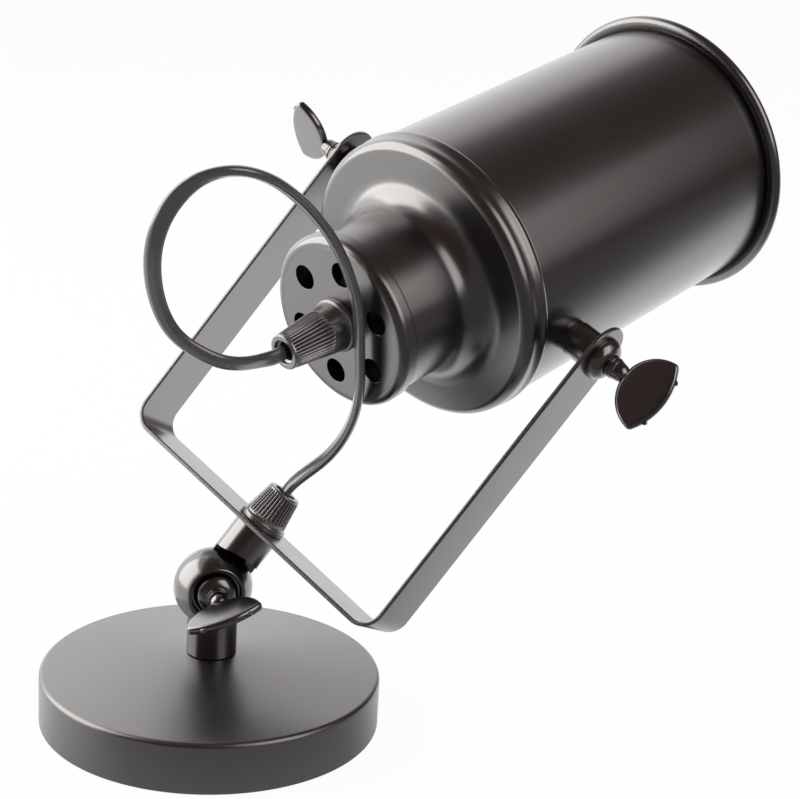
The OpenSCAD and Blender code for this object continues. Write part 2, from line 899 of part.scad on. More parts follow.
// Wing screw: shank, grooved neck, round end and a flat wing
module wing_screw(shank_l) {
    pin_r = neck_pin_d / 2;
    end_r = neck_end_d / 2;
    groove_end = dome_h + neck_collar_l + neck_groove_w;
    translate([0, 0, -shank_l])
    cylinder(r = shank_r, h = shank_l + dome_h + 1);
    translate([0, 0, dome_h])
    cylinder(r = pin_r, h = neck_collar_l);
    translate([0, 0, dome_h + neck_collar_l - eps])
    cylinder(r = pin_r - neck_groove_depth, h = neck_groove_w + 2 * eps);
    translate([0, 0, groove_end])
    cylinder(r1 = pin_r, r2 = end_r, h = neck_pin_l - groove_end);
    translate([0, 0, neck_pin_l])
    sphere(r = end_r);
    intersection() {
        translate([0, wing_t / 2, wing_centre])
        rotate([90, 0, 0])
        cylinder(r = wing_r, h = wing_t);
        translate([0, wing_t / 2, wing_end - wing_outer_r])
        rotate([90, 0, 0])
        cylinder(r = wing_outer_r, h = wing_t);
    }
    for (side = [-1, 1])
    translate([side * nib_at, nib_t / 2, wing_end - nib_depth])
    rotate([90, 0, 0])
    cylinder(r = nib_r, h = nib_t);
}

module at_knuckle_seat() {
    at_knuckle()
    rotate([90, 0, 0])
    translate([0, 0, recess_floor + seat_gap])
    rotate([0, 0, knuckle_wing_turn])
    children();
}

module at_near_seat() {
    at_fork()
    translate([0, -near_outer - seat_gap, tilt_z])
    rotate([90, 0, 0])
    rotate([0, 0, 90 + near_wing_turn])
    children();
}

module at_far_seat() {
    at_fork()
    translate([0, far_outer + seat_gap, tilt_z])
    rotate([-90, 0, 0])
    rotate([0, 0, 270 + far_wing_turn])
    children();
}

module knuckle_washer() dark() at_knuckle_seat() domed_washer();
module knuckle_wing() dark() at_knuckle_seat() wing_screw(recess_floor + blind_end - 1);
module near_washer() dark() at_near_seat() domed_washer();
module near_wing() dark() at_near_seat() wing_screw(near_outer - shank_in + 1);
module far_washer() dark() at_far_seat() domed_washer();
module far_wing() dark() at_far_seat() wing_screw(far_outer - shank_in + 1);

// Flat cord from the shade's grip in a loop to the fork's grip
cord_ends = [
    shade_point(-cap_rear - shade_grip_l - move_gap),
    shade_point(-cap_rear - shade_grip_l - 4),
    stem_point(bar_in + fork_grip_l + 4),
    stem_point(bar_in + fork_grip_l)
];
cord_route = [
    cord_ends[0], cord_ends[1],
    [7, -46, 143], [0, -52.5, 143.5], [-8, -57.5, 145.5], [-15, -58.5, 149], [-22.5, -60, 154.5],
    [-28, -64.5, 164.5], [-31, -72.5, 177], [-31, -79, 187.5], [-28, -83, 197],
    [-21, -85.5, 205.5], [-10, -86, 209], [1, -81.5, 206], [11.5, -72, 198.5], [21.5, -62, 188.5],
    [30, -54, 176], [36, -49, 161], [38, -44.5, 147.5], [40, -40, 133.5], [40.5, -32.5, 121],
    [39, -22, 109], [35.5, -12, 99], [31, -4.5, 92],
    cord_ends[2], cord_ends[3]
];
cord_side = [0.12, -0.9, -0.42];
cord_sides = 10;
// Turn of the flat cord about its own line, by the share of the way along it
cord_turns = [
    [0, -75], [0.28, -120], [0.38, -114], [0.5, -32], [0.75, 18], [0.83, -12], [1, 42]
];

function unit(v) = v / norm(v);
function ring_at(c, tangent, turn) =
    let (
        level = unit(cord_side - (cord_side * tangent) * tangent),
        side = cos(turn) * level + sin(turn) * cross(tangent, level),
        up = cross(tangent, side)
    )
    [for (k = [0 : cord_sides - 1])
        let (a = 360 * k / cord_sides)
        c + side * (cord_w / 2) * cos(a) + up * (cord_t / 2) * sin(a)];

module cord() {
    p = cord_route;
    n = len(p);
    // Square to the grips at both ends
    tangents = [for (i = [0 : n - 1])
        i == 0 ? unit(p[1] - p[0]) : i == n - 1 ? unit(p[n - 1] - p[n - 2])
        : unit(p[i + 1] - p[i - 1])];
    verts = [for (i = [0 : n - 1])
        each ring_at(p[i], tangents[i], lookup(i / (n - 1), cord_turns))];
    walls = [for (i = [0 : n - 2], k = [0 : cord_sides - 1])
        let (a = i * cord_sides + k, b = i * cord_sides + (k + 1) % cord_sides)
        each [[a, a + cord_sides, b], [b, a + cord_sides, b + cord_sides]]];
    first = [for (k = [0 : cord_sides - 1]) k];
    last = [for (k = [0 : cord_sides - 1]) n * cord_sides - 1 - k];
    color([0.2, 0.2, 0.21])
    polyhedron(points = verts, faces = concat([first], walls, [last]), convexity = 8);
}

canopy();
wall_strap();
base_tube();
rear_locknut();
front_locknut();
terminal_block();
terminal_screws();
earth_screw();
knuckle_lower();
knuckle_washer();
knuckle_wing();
knuckle_upper();
stem_sleeve();
fork();
fork_tube();
fork_grip();
near_washer();
near_wing();
far_washer();
far_wing();
shade_tube();
front_rim();
rear_cap();
rear_neck();
rear_cover();
shade_grip();
shade_tube_nipple();
cover_locknut();
holder_cap();
holder_body();
holder_ring();
screw_shell();
centre_contact();
near_spacer();
far_spacer();
near_nut();
far_nut();
cord();
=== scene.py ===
"""Wall lamp: a satin black spot shade in a U shaped fork on a swivelling ball knuckle.

Pieces are drawn in millimetres in the frame of what carries them, and placed in metres.
"""

import math

import bmesh
import bpy
from mathutils import Matrix, Vector


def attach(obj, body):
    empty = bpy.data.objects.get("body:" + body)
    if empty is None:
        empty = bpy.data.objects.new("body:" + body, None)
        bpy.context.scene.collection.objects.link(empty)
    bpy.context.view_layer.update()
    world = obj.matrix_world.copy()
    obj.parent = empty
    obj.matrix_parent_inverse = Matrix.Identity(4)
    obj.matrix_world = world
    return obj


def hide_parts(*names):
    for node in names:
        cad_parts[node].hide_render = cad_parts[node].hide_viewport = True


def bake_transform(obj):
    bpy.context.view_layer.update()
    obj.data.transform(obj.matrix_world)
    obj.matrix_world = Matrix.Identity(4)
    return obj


MM = 0.001

# Rest pose, in degrees
STEM_LEAN = 35.7
FORK_TURN = 43.6
SHADE_TILT = 45.4

# Canopy and collar
CANOPY_R = 60
CANOPY_H = 18
CANOPY_WALL = 1.6
CANOPY_EDGE_R = 1.8
CANOPY_RISE = 6.5
CROWN_R = 10
TUBE_R = 5
COLLAR_R = 8.8
COLLAR_FOOT = CANOPY_H + CANOPY_RISE + 0.3

# Ball knuckle
BALL_Z = 49
BALL_R = 13.8
SPLIT = 0.15
SHANK_HOLE_R = 3.3
WIRE_R = 5.3
RECESS_R = 8.7
RECESS_FLAT_R = 9.8
RECESS_FLOOR = 6.516
BLIND_END = 10.6
SPIGOT_R = 6.4
SPIGOT_END = 18.2
STEM_R = 8.4
STEM_REACH = 26.2
RELIEF_R = 16
RELIEF_END = 28
COLLAR_SUNK = 0.1
SPIGOT_BORE_R = 4
SPIGOT_START = 6

# Fork
SHADE_R = 48.8
NEAR_INNER = SHADE_R + 11.1
FAR_INNER = SHADE_R + 12
STRIP_W = 21.8
STRIP_T = 1.6
STRIP_EDGE_R = 0.5
NEAR_ARM_OVER = 0.3
FAR_ARM_OVER = 1.6
BEND_R = 7
FORK_REACH = 118
BAR_IN = STEM_REACH + STRIP_T
TILT_Z = BAR_IN + FORK_REACH

# Shade
SHADE_WALL = 1.2
SHADE_IN = SHADE_R - SHADE_WALL
SHADE_FRONT = 101.5
SHADE_REAR = 15.2
RIM_R = 53.25
RIM_L = 7.5
RIM_BEAD_R = 2.1
CAP_FACE = 25.5
SHOULDER_FAR_R = 49.4
SHOULDER_R = 3.6
BEAD_FAR_R = 49.9
BEAD_R = 1.9
BEAD_AT = 16.9
VALLEY_R = 6
NECK_R = 28.6
FLARE_R = 9.5
CAP_REAR = 61.8
CUP_R = 29.9
CUP_L = 6.6
CUP_EDGE_R = 3
COVER_R = 26.6
COVER_T = 1.4
LEDGE_R = 24.9
VENT_R = 4.25
VENT_CIRCLE_R = 19
VENT_COUNT = 6
VENT_TURN = 52
LIP_L = 6
LIP_GAP = 0.05

# Grips
FORK_GRIP = {"flange_r": 8.8, "tip_r": 6.0, "length": 14, "flutes_from": 3.1}
SHADE_GRIP = {"flange_r": 9.2, "tip_r": 5.9, "length": 24, "flutes_from": 8}
GRIP_FLANGE_H = 2.4
GRIP_BORE_R = 3.3
GRIP_MOUTH_R = 4.1
FLUTE_COUNT = 34
FLUTE_DEPTH = 0.75
FLUTE_FADE = 0.4

# Wing screws
SEAT_GAP = 0.15
SHANK_R = 3
ARM_SHANK_L = 18
SPACER_R = 6.3
SPACER_NECK_R = 5.9
DOME_R = 7.7
DOME_H = 4.4
DOME_ROUND = 4.2
PIN_R = 3.9
PIN_END_R = 3.2
PIN_L = 8.4
WING_R = 13.2
WING_OUTER_R = 22.5
WING_END = 27.2
WING_CENTRE = 23.3
WING_CORNER_R = 1.5
WING_T = 3
NIB_AT = 8
NIB_R = 1
NIB_T = 1.4
KNUCKLE_WING_TURN = 19
NEAR_WING_TURN = 0
FAR_WING_TURN = 120

# Cord
CORD_W = 5.4
CORD_T = 3.3
CORD_GROOVE = 0.1
CORD_SIDE = (0.12, -0.9, -0.42)
# Turn of the flat flex about its own line, in degrees, by the share of the way along it
CORD_TURNS = [(0, -75), (0.26, -118), (0.35, -116), (0.46, -34), (0.74, 14), (0.85, 2), (1, 20)]
CORD_ROUTE = [
    (7, -46, 143), (0, -52.5, 143.5), (-8, -57.5, 145.5), (-15, -58.5, 149), (-22.5, -60, 154.5),
    (-28, -64.5, 164.5), (-31, -72.5, 177), (-31, -79, 187.5), (-28, -83, 197),
    (-21, -85.5, 205.5), (-10, -86, 209), (1, -81.5, 206), (11.5, -72, 198.5), (21.5, -62, 188.5),
    (30, -54, 176), (36, -49, 161), (38, -44.5, 147.5), (40, -40, 133.5), (40.5, -32.5, 121),
    (39, -22, 109), (35.5, -12, 99), (31, -4.5, 92),
]

# Camera, in metres and degrees
LENS = 80.53
SENSOR_W = 36
CAMERA_AT = (-0.0850974, -0.5818019, 0.2854015)
CAMERA_TURN = (74.2386, -3.1145, -13.4614)

# Light, in metres, with 1 as white
LAMP_CENTRE = (0.05, 0, 0.12)
SOFTBOX_FAR = 1.4
SOFT_LEVEL = 0.6
BACKDROP_WAY = (-0.05, 0.96, 0.26)
# What a reflection sees, from the room in front of the lamp to the backdrop behind it
ROOM_STOPS = [
    (0, (0.08, 0.05, 0.045)), (0.45, (0.11, 0.08, 0.08)), (0.68, (0.28, 0.25, 0.25)),
    (0.8, (1.13, 1.1, 1.1)), (0.98, (1.5, 1.5, 1.5)),
]
FLOOR_HALF = 6
FLOOR_UNDER = 0.0004
FLOOR_WHITE = 0.95
# Painted shade on the floor as a mirror sees it: dark in front of the lamp, where its shadow falls,
# brighter towards the backdrop
FLOOR_WAY = (-0.12, 1, 0)
FLOOR_FROM, FLOOR_TO = -0.15, 0.35
FLOOR_PAINTED_SHADE_STOPS = [
    (0, (0.15, 0.14, 0.14)), (0.14, (0.33, 0.33, 0.33)), (0.2, (0.45, 0.45, 0.45)),
    (0.27, (0.95, 0.95, 0.95)), (0.34, (1.25, 1.25, 1.25)), (1, (1.5, 1.5, 1.5)),
]


# ---------------------------------------------------------------- frames


def turn(angle, axis):
    return Matrix.Rotation(math.radians(angle), 4, axis)


def shift(x, y, z):
    return Matrix.Translation((x, y, z))


WALL = Matrix.Identity(4)
BALL = shift(0, 0, BALL_Z)
STEM = BALL @ turn(STEM_LEAN, "Y")
FORK = STEM @ turn(FORK_TURN, "Z")
SHADE = FORK @ shift(0, 0, TILT_Z) @ turn(SHADE_TILT, "Y")
CLAMP = BALL @ turn(90, "X")
BACK_OF_BALL = STEM @ turn(-90, "X")
KNUCKLE_SEAT = CLAMP @ shift(0, 0, RECESS_FLOOR + SEAT_GAP) @ turn(KNUCKLE_WING_TURN, "Z")
NEAR_SIDE = FORK @ shift(0, 0, TILT_Z) @ turn(90, "X")
FAR_SIDE = FORK @ shift(0, 0, TILT_Z) @ turn(-90, "X")
NEAR_SEAT = (
    NEAR_SIDE @ shift(0, 0, NEAR_INNER + STRIP_T + SEAT_GAP) @ turn(90 + NEAR_WING_TURN, "Z")
)
FAR_SEAT = (
    FAR_SIDE @ shift(0, 0, FAR_INNER + STRIP_T + SEAT_GAP) @ turn(270 + FAR_WING_TURN, "Z")
)


# ---------------------------------------------------------------- outlines


def arc(centre, radius, start, end, steps):
    """Points on an arc, in degrees, both ends included."""
    angles = [math.radians(start + (end - start) * i / steps) for i in range(steps + 1)]
    return [(centre[0] + radius * math.cos(a), centre[1] + radius * math.sin(a)) for a in angles]


def circle(centre, radius, count):
    return arc(centre, radius, 0, 360 * (count - 1) / count, count - 1)


def rounded(corners, closed=True, step=14):
    """An outline from (x, y) or (x, y, fillet) corners, with an arc at each fillet."""
    flat = [tuple(c) + (0,) * (3 - len(c)) for c in corners]
    count = len(flat)
    outline = []
    for i, (x, y, fillet) in enumerate(flat):
        at_end = not closed and i in (0, count - 1)
        if fillet == 0 or at_end:
            outline.append((x, y))
            continue
        here = Vector((x, y))
        before = (Vector(flat[i - 1][:2]) - here).normalized()
        after = (Vector(flat[(i + 1) % count][:2]) - here).normalized()
        half = math.acos(max(-1, min(1, before.dot(after)))) / 2
        reach = fillet / math.tan(half)
        centre = here + (before + after).normalized() * fillet / math.sin(half)
        first = here + before * reach - centre
        last = here + after * reach - centre
        swing = first.angle_signed(last)
        steps = max(2, math.ceil(math.degrees(abs(swing)) / step))
        for k in range(steps + 1):
            a = -swing * k / steps
            c, s = math.cos(a), math.sin(a)
            outline.append((centre.x + first.x * c - first.y * s,
                            centre.y + first.x * s + first.y * c))
    return outline


# ---------------------------------------------------------------- meshes


def lathe(outline, closed=True, sides=144):
    """(points, faces) of an outline of (radius, height) turned about Z."""
    points, faces, rings = [], [], []
    for radius, height in outline:
        if radius < 1e-6:
            rings.append([len(points)] * sides)
            points.append((0, 0, height))
            continue
        rings.append([len(points) + k for k in range(sides)])
        for k in range(sides):
            a = 2 * math.pi * k / sides
            points.append((radius * math.cos(a), radius * math.sin(a), height))
    for low, high in zip(rings, rings[1:] + (rings[:1] if closed else [])):
        for k in range(sides):
            n = (k + 1) % sides
            face = []
            for p in (low[k], low[n], high[n], high[k]):
                if p not in face:
                    face.append(p)
            if len(face) > 2:
                faces.append(face)
    return points, faces


def plate(loops, thickness, edge):
    """(points, faces) of a flat plate with rounded edges, centred on z = 0."""
    curve = bpy.data.curves.new("plate", "CURVE")
    curve.dimensions = "2D"
    curve.fill_mode = "BOTH"
    curve.extrude = thickness / 2 - edge
    curve.bevel_depth = edge
    curve.bevel_resolution = 3
    curve.offset = -edge
    for loop in loops:
        spline = curve.splines.new("POLY")
        spline.points.add(len(loop) - 1)
        for point, (x, y) in zip(spline.points, loop):
            point.co = (x, y, 0, 1)
        spline.use_cyclic_u = True
    return drawn_shape(placed("plate", curve))


def moved(shape, matrix):
    points, faces = shape
    return [tuple(matrix @ Vector(p)) for p in points], faces


def mesh_of(name, points, faces, weld=0):
    """A mesh with its faces turned outwards, and points closer than weld made one."""
    mesh = bpy.data.meshes.new(name)
    mesh.from_pydata(points, [], faces)
    work = bmesh.new()
    work.from_mesh(mesh)
    if weld:
        bmesh.ops.remove_doubles(work, verts=work.verts, dist=weld)
    bmesh.ops.recalc_face_normals(work, faces=work.faces)
    work.to_mesh(mesh)
    work.free()
    return mesh


def placed(name, data):
    """A new object of the scene with this mesh, curve, lamp or camera."""
    made = bpy.data.objects.new(name, data)
    bpy.context.scene.collection.objects.link(made)
    return made


def drawn_shape(drawn):
    """(points, faces) of an object as its curve or modifiers draw it, then removes it."""
    depsgraph = bpy.context.evaluated_depsgraph_get()
    mesh = bpy.data.meshes.new_from_object(drawn.evaluated_get(depsgraph))
    points = [tuple(v.co) for v in mesh.vertices]
    faces = [list(p.vertices) for p in mesh.polygons]
    bpy.data.meshes.remove(mesh)
    bpy.data.objects.remove(drawn)
    return points, faces


def cut_away(shape, cutter):
    """The shape without what lies inside the cutter."""
    solid, tool = (placed("cut", mesh_of("cut", *part)) for part in (shape, cutter))
    cut = solid.modifiers.new("cut", "BOOLEAN")
    cut.operation = "DIFFERENCE"
    cut.solver = "EXACT"
    cut.object = tool
    result = drawn_shape(solid)
    bpy.data.objects.remove(tool)
    return result


def piece(name, shapes, frame_at, body, material, stands_for=(), crease=32):
    """One object made of shapes drawn in millimetres in frame_at.

    It rides on a body, or on none when no body is given.
    """
    points, faces = [], []
    for shape_points, shape_faces in shapes:
        base = len(points)
        points += shape_points
        faces += [[base + i for i in face] for face in shape_faces]
    mesh = mesh_of(name, points, faces, weld=1e-4)
    mesh.transform(Matrix.Scale(MM, 4) @ frame_at)
    mesh.shade_smooth()
    mesh.set_sharp_from_angle(angle=math.radians(crease))
    mesh.materials.append(material)
    made = placed(name, mesh)
    weighted = made.modifiers.new("flat_faces_stay_flat", "WEIGHTED_NORMAL")
    weighted.keep_sharp = True
    weighted.weight = 60
    if body:
        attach(made, body)
    if stands_for:
        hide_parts(*stands_for)
    return made


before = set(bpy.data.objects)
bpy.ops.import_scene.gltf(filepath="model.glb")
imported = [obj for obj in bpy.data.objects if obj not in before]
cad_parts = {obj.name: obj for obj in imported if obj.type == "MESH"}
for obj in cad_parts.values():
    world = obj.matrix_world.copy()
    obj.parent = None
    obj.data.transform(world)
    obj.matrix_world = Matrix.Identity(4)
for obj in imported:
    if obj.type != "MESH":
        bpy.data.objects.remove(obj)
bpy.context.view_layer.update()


# ---------------------------------------------------------------- camera


def make_camera():
    data = bpy.data.cameras.new("photo_camera")
    data.lens = LENS
    data.sensor_width = SENSOR_W
    data.clip_start = 0.01
    camera = placed("photo_camera", data)
    camera.location = CAMERA_AT
    camera.rotation_euler = [math.radians(a) for a in CAMERA_TURN]
    bpy.context.scene.camera = camera


make_camera()


# ---------------------------------------------------------------- finishes


def node_at(tree, kind, x, y):
    node = tree.nodes.new(kind)
    node.location = (x, y)
    return node


def maths(tree, operation, x, y, first, second):
    """A Math node on two inputs, each of them a socket or a number."""
    node = node_at(tree, "ShaderNodeMath", x, y)
    node.operation = operation
    for socket, given in zip(node.inputs, (first, second)):
        if isinstance(given, (int, float)):
            socket.default_value = given
        else:
            tree.links.new(given, socket)
    return node


def fine_noise(tree, where, x, y, detail, scale=None):
    """A noise at a place, whose scale is a number or comes by a link."""
    node = node_at(tree, "ShaderNodeTexNoise", x, y)
    node.inputs["Detail"].default_value = detail
    if scale:
        node.inputs["Scale"].default_value = scale
    tree.links.new(where, node.inputs["Vector"])
    return node


def group_tree(name, inputs, outputs):
    """A node group with its (socket, kind, value) inputs and (socket, kind) outputs."""
    tree = bpy.data.node_groups.new(name, "ShaderNodeTree")
    for socket, kind, value in inputs:
        made = tree.interface.new_socket(socket, in_out="INPUT", socket_type=kind)
        made.default_value = value
    for socket, kind in outputs:
        tree.interface.new_socket(socket, in_out="OUTPUT", socket_type=kind)
    return tree, node_at(tree, "NodeGroupInput", -900, 0), node_at(tree, "NodeGroupOutput", 700, 0)


def make_paint_skin():
    """Sprayed paint: fine orange peel, and a faint clouding of colour and gloss."""
    tree, given, made = group_tree(
        "paint_skin",
        [
            ("Colour", "NodeSocketColor", (0.2, 0.2, 0.2, 1)),
            ("Roughness", "NodeSocketFloat", 0.3),
            ("Peel Size", "NodeSocketFloat", 900.0),
            ("Peel Height", "NodeSocketFloat", 0.00002),
            ("Clouding", "NodeSocketFloat", 0.05),
        ],
        [
            ("Colour", "NodeSocketColor"),
            ("Roughness", "NodeSocketFloat"),
            ("Normal", "NodeSocketVector"),
        ],
    )
    link = tree.links.new
    where = node_at(tree, "ShaderNodeTexCoord", -900, -300).outputs["Object"]
    peel = fine_noise(tree, where, -600, -300, detail=3)
    peel.inputs["Roughness"].default_value = 0.55
    link(given.outputs["Peel Size"], peel.inputs["Scale"])
    bump = node_at(tree, "ShaderNodeBump", 300, -300)
    bump.inputs["Strength"].default_value = 1.0
    link(given.outputs["Peel Height"], bump.inputs["Distance"])
    link(peel.outputs["Fac"], bump.inputs["Height"])
    link(bump.outputs["Normal"], made.inputs["Normal"])

    cloud = fine_noise(tree, where, -600, 100, detail=4, scale=45)
    centred = maths(tree, "SUBTRACT", -400, 100, cloud.outputs["Fac"], 0.5)
    amount = maths(tree, "MULTIPLY", -200, 100, centred.outputs[0], given.outputs["Clouding"])
    rough = maths(tree, "ADD", 0, 100, given.outputs["Roughness"], amount.outputs[0])
    rough.use_clamp = True
    link(rough.outputs[0], made.inputs["Roughness"])
    bright = maths(tree, "ADD", 0, 300, amount.outputs[0], 1.0)
    tint = node_at(tree, "ShaderNodeVectorMath", 300, 300)
    tint.operation = "SCALE"
    link(given.outputs["Colour"], tint.inputs[0])
    link(bright.outputs[0], tint.inputs["Scale"])
    link(tint.outputs[0], made.inputs["Colour"])
    return tree


def plain_material(name):
    material = bpy.data.materials.new(name)
    material.use_nodes = True
    return material, material.node_tree, material.node_tree.nodes["Principled BSDF"]


def coated(name, colour, metallic, roughness, peel, peel_um, clouding):
    """A material with the sprayed skin, its peel's height in thousandths of a millimetre."""
    material, tree, shader = plain_material(name)
    skin = node_at(tree, "ShaderNodeGroup", -300, 200)
    skin.node_tree = PAINT_SKIN
    skin.inputs["Colour"].default_value = (*colour, 1)
    skin.inputs["Roughness"].default_value = roughness
    skin.inputs["Peel Size"].default_value = peel
    skin.inputs["Peel Height"].default_value = peel_um * 1e-6
    skin.inputs["Clouding"].default_value = clouding
    shader.inputs["Metallic"].default_value = metallic
    tree.links.new(skin.outputs["Colour"], shader.inputs["Base Color"])
    tree.links.new(skin.outputs["Roughness"], shader.inputs["Roughness"])
    tree.links.new(skin.outputs["Normal"], shader.inputs["Normal"])
    return material


PAINT_SKIN = make_paint_skin()
BLACK = (0.2, 0.194, 0.19)
CANOPY_BLACK = (0.185, 0.18, 0.176)
# The fork's paint is a lighter copy of the black paint: a painted highlight for the brighter light its
# faces catch
FORK_LIT_BLACK = (0.25, 0.244, 0.238)
black_paint = coated("black_paint", BLACK, 1, 0.21, peel=900, peel_um=12, clouding=0.08)
shade_paint = coated("shade_paint", BLACK, 1, 0.26, peel=800, peel_um=14, clouding=0.05)
canopy_paint = coated("canopy_paint", CANOPY_BLACK, 1, 0.33, peel=900, peel_um=12, clouding=0.08)
fork_paint = coated("fork_paint", FORK_LIT_BLACK, 1, 0.3, peel=700, peel_um=12, clouding=0.08)
zinc = coated("zinc_plating", (0.62, 0.62, 0.6), 1, 0.32, peel=1400, peel_um=10, clouding=0.15)
brass = coated("bright_brass", (0.78, 0.6, 0.28), 1, 0.25, peel=1400, peel_um=8, clouding=0.12)
off_white = coated("off_white_plastic", (0.82, 0.8, 0.74), 0, 0.5, peel=500, peel_um=10, clouding=0.04)
holder_black = coated("holder_plastic", (0.03, 0.03, 0.032), 0, 0.4, peel=600, peel_um=10, clouding=0.06)
grip_grey = coated("grip_plastic", (0.24, 0.231, 0.227), 0.9, 0.27, peel=1500, peel_um=3, clouding=0.1)
cord_grey = coated("cord_sheath", (0.165, 0.157, 0.154), 0.75, 0.21, peel=600, peel_um=4, clouding=0.08)


# ---------------------------------------------------------------- cord


def on_axis(frame_at, z):
    """The point at a height on the axis of a frame."""
    return frame_at @ Vector((0, 0, z))


def smooth_line(points, between=8):
    """A curve through the points that never overshoots where they come close together."""
    padded = [2 * points[0] - points[1], *points, 2 * points[-1] - points[-2]]
    line = []
    for a, b, c, d in zip(padded, padded[1:], padded[2:], padded[3:]):
        t0 = 0
        t1 = t0 + math.sqrt((b - a).length)
        t2 = t1 + math.sqrt((c - b).length)
        t3 = t2 + math.sqrt((d - c).length)
        for k in range(between):
            t = t1 + (t2 - t1) * k / between
            ab = a + (b - a) * (t - t0) / (t1 - t0)
            bc = b + (c - b) * (t - t1) / (t2 - t1)
            cd = c + (d - c) * (t - t2) / (t3 - t2)
            abc = ab + (bc - ab) * (t - t0) / (t2 - t0)
            bcd = bc + (cd - bc) * (t - t1) / (t3 - t1)
            line.append(abc + (bcd - abc) * (t - t1) / (t2 - t1))
    return line + [points[-1]]


def softened(points, passes):
    """Evens out the given route, with its ends and their directions kept."""
    line = list(points)
    for _ in range(passes):
        line = (
            line[:2]
            + [(a + 2 * b + c) / 4 for a, b, c in zip(line[1:], line[2:], line[3:])]
            + line[-2:]
        )
    return line


def flex_section():
    """Two round cores side by side under one sheath, with a shallow groove between."""
    section = []
    count = 28
    for k in range(count):
        a = 2 * math.pi * k / count
        groove = 1 - CORD_GROOVE * math.exp(-(math.cos(a) / 0.22) ** 2)
        section.append((math.cos(a) * CORD_W / 2, math.sin(a) * CORD_T / 2 * groove))
    return section


def eased(stops, at):
    """Value between (place, value) stops, eased from one to the next."""
    for (a, low), (b, high) in zip(stops, stops[1:]):
        if at <= b:
            share = (at - a) / (b - a)
            return low + (high - low) * share * share * (3 - 2 * share)
    return stops[-1][1]


def sweep(line, section, side_hint, turns):
    """(points, faces) of a section drawn along a line and turned about it as it goes."""
    points, faces = [], []
    count = len(section)
    hint = Vector(side_hint)
    last = len(line) - 1
    for i, here in enumerate(line):
        along = (line[min(i + 1, last)] - line[max(i - 1, 0)]).normalized()
        side = (hint - along * hint.dot(along)).normalized()
        side.rotate(Matrix.Rotation(math.radians(eased(turns, i / last)), 3, along))
        up = along.cross(side)
        points += [tuple(here + side * x + up * y) for x, y in section]
    for i in range(last):
        for k in range(count):
            a, b = i * count + k, i * count + (k + 1) % count
            faces.append([a, a + count, b + count, b])
    faces.append(list(range(count)))
    faces.append([last * count + k for k in reversed(range(count))])
    return points, faces


def make_cord():
    """The cord from the shade's grip to the fork's grip, on no body."""
    route = (
        [on_axis(SHADE, -CAP_REAR - 24.3), on_axis(SHADE, -CAP_REAR - 28)]
        + [Vector(p) for p in CORD_ROUTE]
        + [on_axis(STEM, BAR_IN + 18), on_axis(STEM, BAR_IN + 14)]
    )
    line = softened(smooth_line(route), 20)
    flex = piece(
        "flat_flex", [sweep(line, flex_section(), CORD_SIDE, CORD_TURNS)], WALL,
        None, cord_grey, ("cord",),
    )
    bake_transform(flex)


make_cord()


# ---------------------------------------------------------------- canopy and knuckle


def make_canopy():
    crown = CANOPY_H + CANOPY_RISE
    outline = rounded([
        (CANOPY_R - CANOPY_WALL, 0, 0.4), (CANOPY_R, 0, 0.5),
        (CANOPY_R, CANOPY_H, CANOPY_EDGE_R), (CROWN_R, crown), (TUBE_R, crown),
        (TUBE_R, crown - CANOPY_WALL), (CROWN_R, crown - CANOPY_WALL),
        (CANOPY_R - CANOPY_WALL, CANOPY_H - CANOPY_WALL, 1),
    ], step=9)
    piece("canopy_shell", [lathe(outline, sides=256)], WALL,
          "base", canopy_paint, ("canopy",))


def ball_height(radius, reach):
    """How far the surface of a ball lies from its middle, at a radius about the axis."""
    return math.sqrt(reach * reach - radius * radius)


def room_to_swing(side):
    """What is cut out of one half of the knuckle so that the other half can swing past it."""
    return moved(
        lathe([(0, -SPLIT), (RELIEF_R, -SPLIT), (RELIEF_R, RELIEF_END), (0, RELIEF_END)],
              closed=False),
        turn(90 * side, "X"),
    )


def make_lower_knuckle():
    top = [(r, BALL_Z - ball_height(r, BALL_R - COLLAR_SUNK)) for r in (COLLAR_R, 7.8, 7, 6.2, WIRE_R)]
    collar = rounded([
        (WIRE_R, COLLAR_FOOT), (COLLAR_R, COLLAR_FOOT, 0.3), top[0],
    ], closed=False) + top[1:]
    flat = ball_height(RECESS_FLAT_R, BALL_R)
    start = math.degrees(math.asin(SPLIT / BALL_R))
    end = math.degrees(math.asin(flat / BALL_R))
    half_ball = (
        [(SHANK_HOLE_R, SPLIT)]
        + arc((0, 0), BALL_R, start, end - 1.5, 26)
        + rounded([
            (RECESS_FLAT_R + 0.2, flat - 0.2), (RECESS_FLAT_R - 0.1, flat, 0.3),
            (RECESS_R, flat, 0.45), (RECESS_R, RECESS_FLOOR, 0.4),
            (SHANK_HOLE_R, RECESS_FLOOR),
        ], closed=False)
    )
    shapes = [
        cut_away(lathe(collar), moved(room_to_swing(-1), BALL)),
        moved(lathe(half_ball), CLAMP),
    ]
    piece("collar_and_half_ball", shapes, WALL,
          "knuckle", black_paint, ("knuckle_lower",))


def make_upper_knuckle():
    start = math.degrees(math.asin(SPLIT / BALL_R))
    half_ball = (
        [(0, BLIND_END), (SHANK_HOLE_R, BLIND_END), (SHANK_HOLE_R, SPLIT)]
        + arc((0, 0), BALL_R, start, 90, 32)[:-1]
        + [(0, BALL_R)]
    )
    spigot = rounded([
        (SPIGOT_BORE_R, SPIGOT_START), (SPIGOT_R, SPIGOT_START),
        (SPIGOT_R, SPIGOT_END, 0.5), (SPIGOT_BORE_R, SPIGOT_END),
    ])
    shapes = [
        moved(lathe(half_ball, closed=False), BACK_OF_BALL),
        moved(cut_away(lathe(spigot, sides=96), room_to_swing(1)), STEM),
    ]
    piece("rear_half_ball", shapes, WALL,
          "stem", black_paint, ("knuckle_upper",))


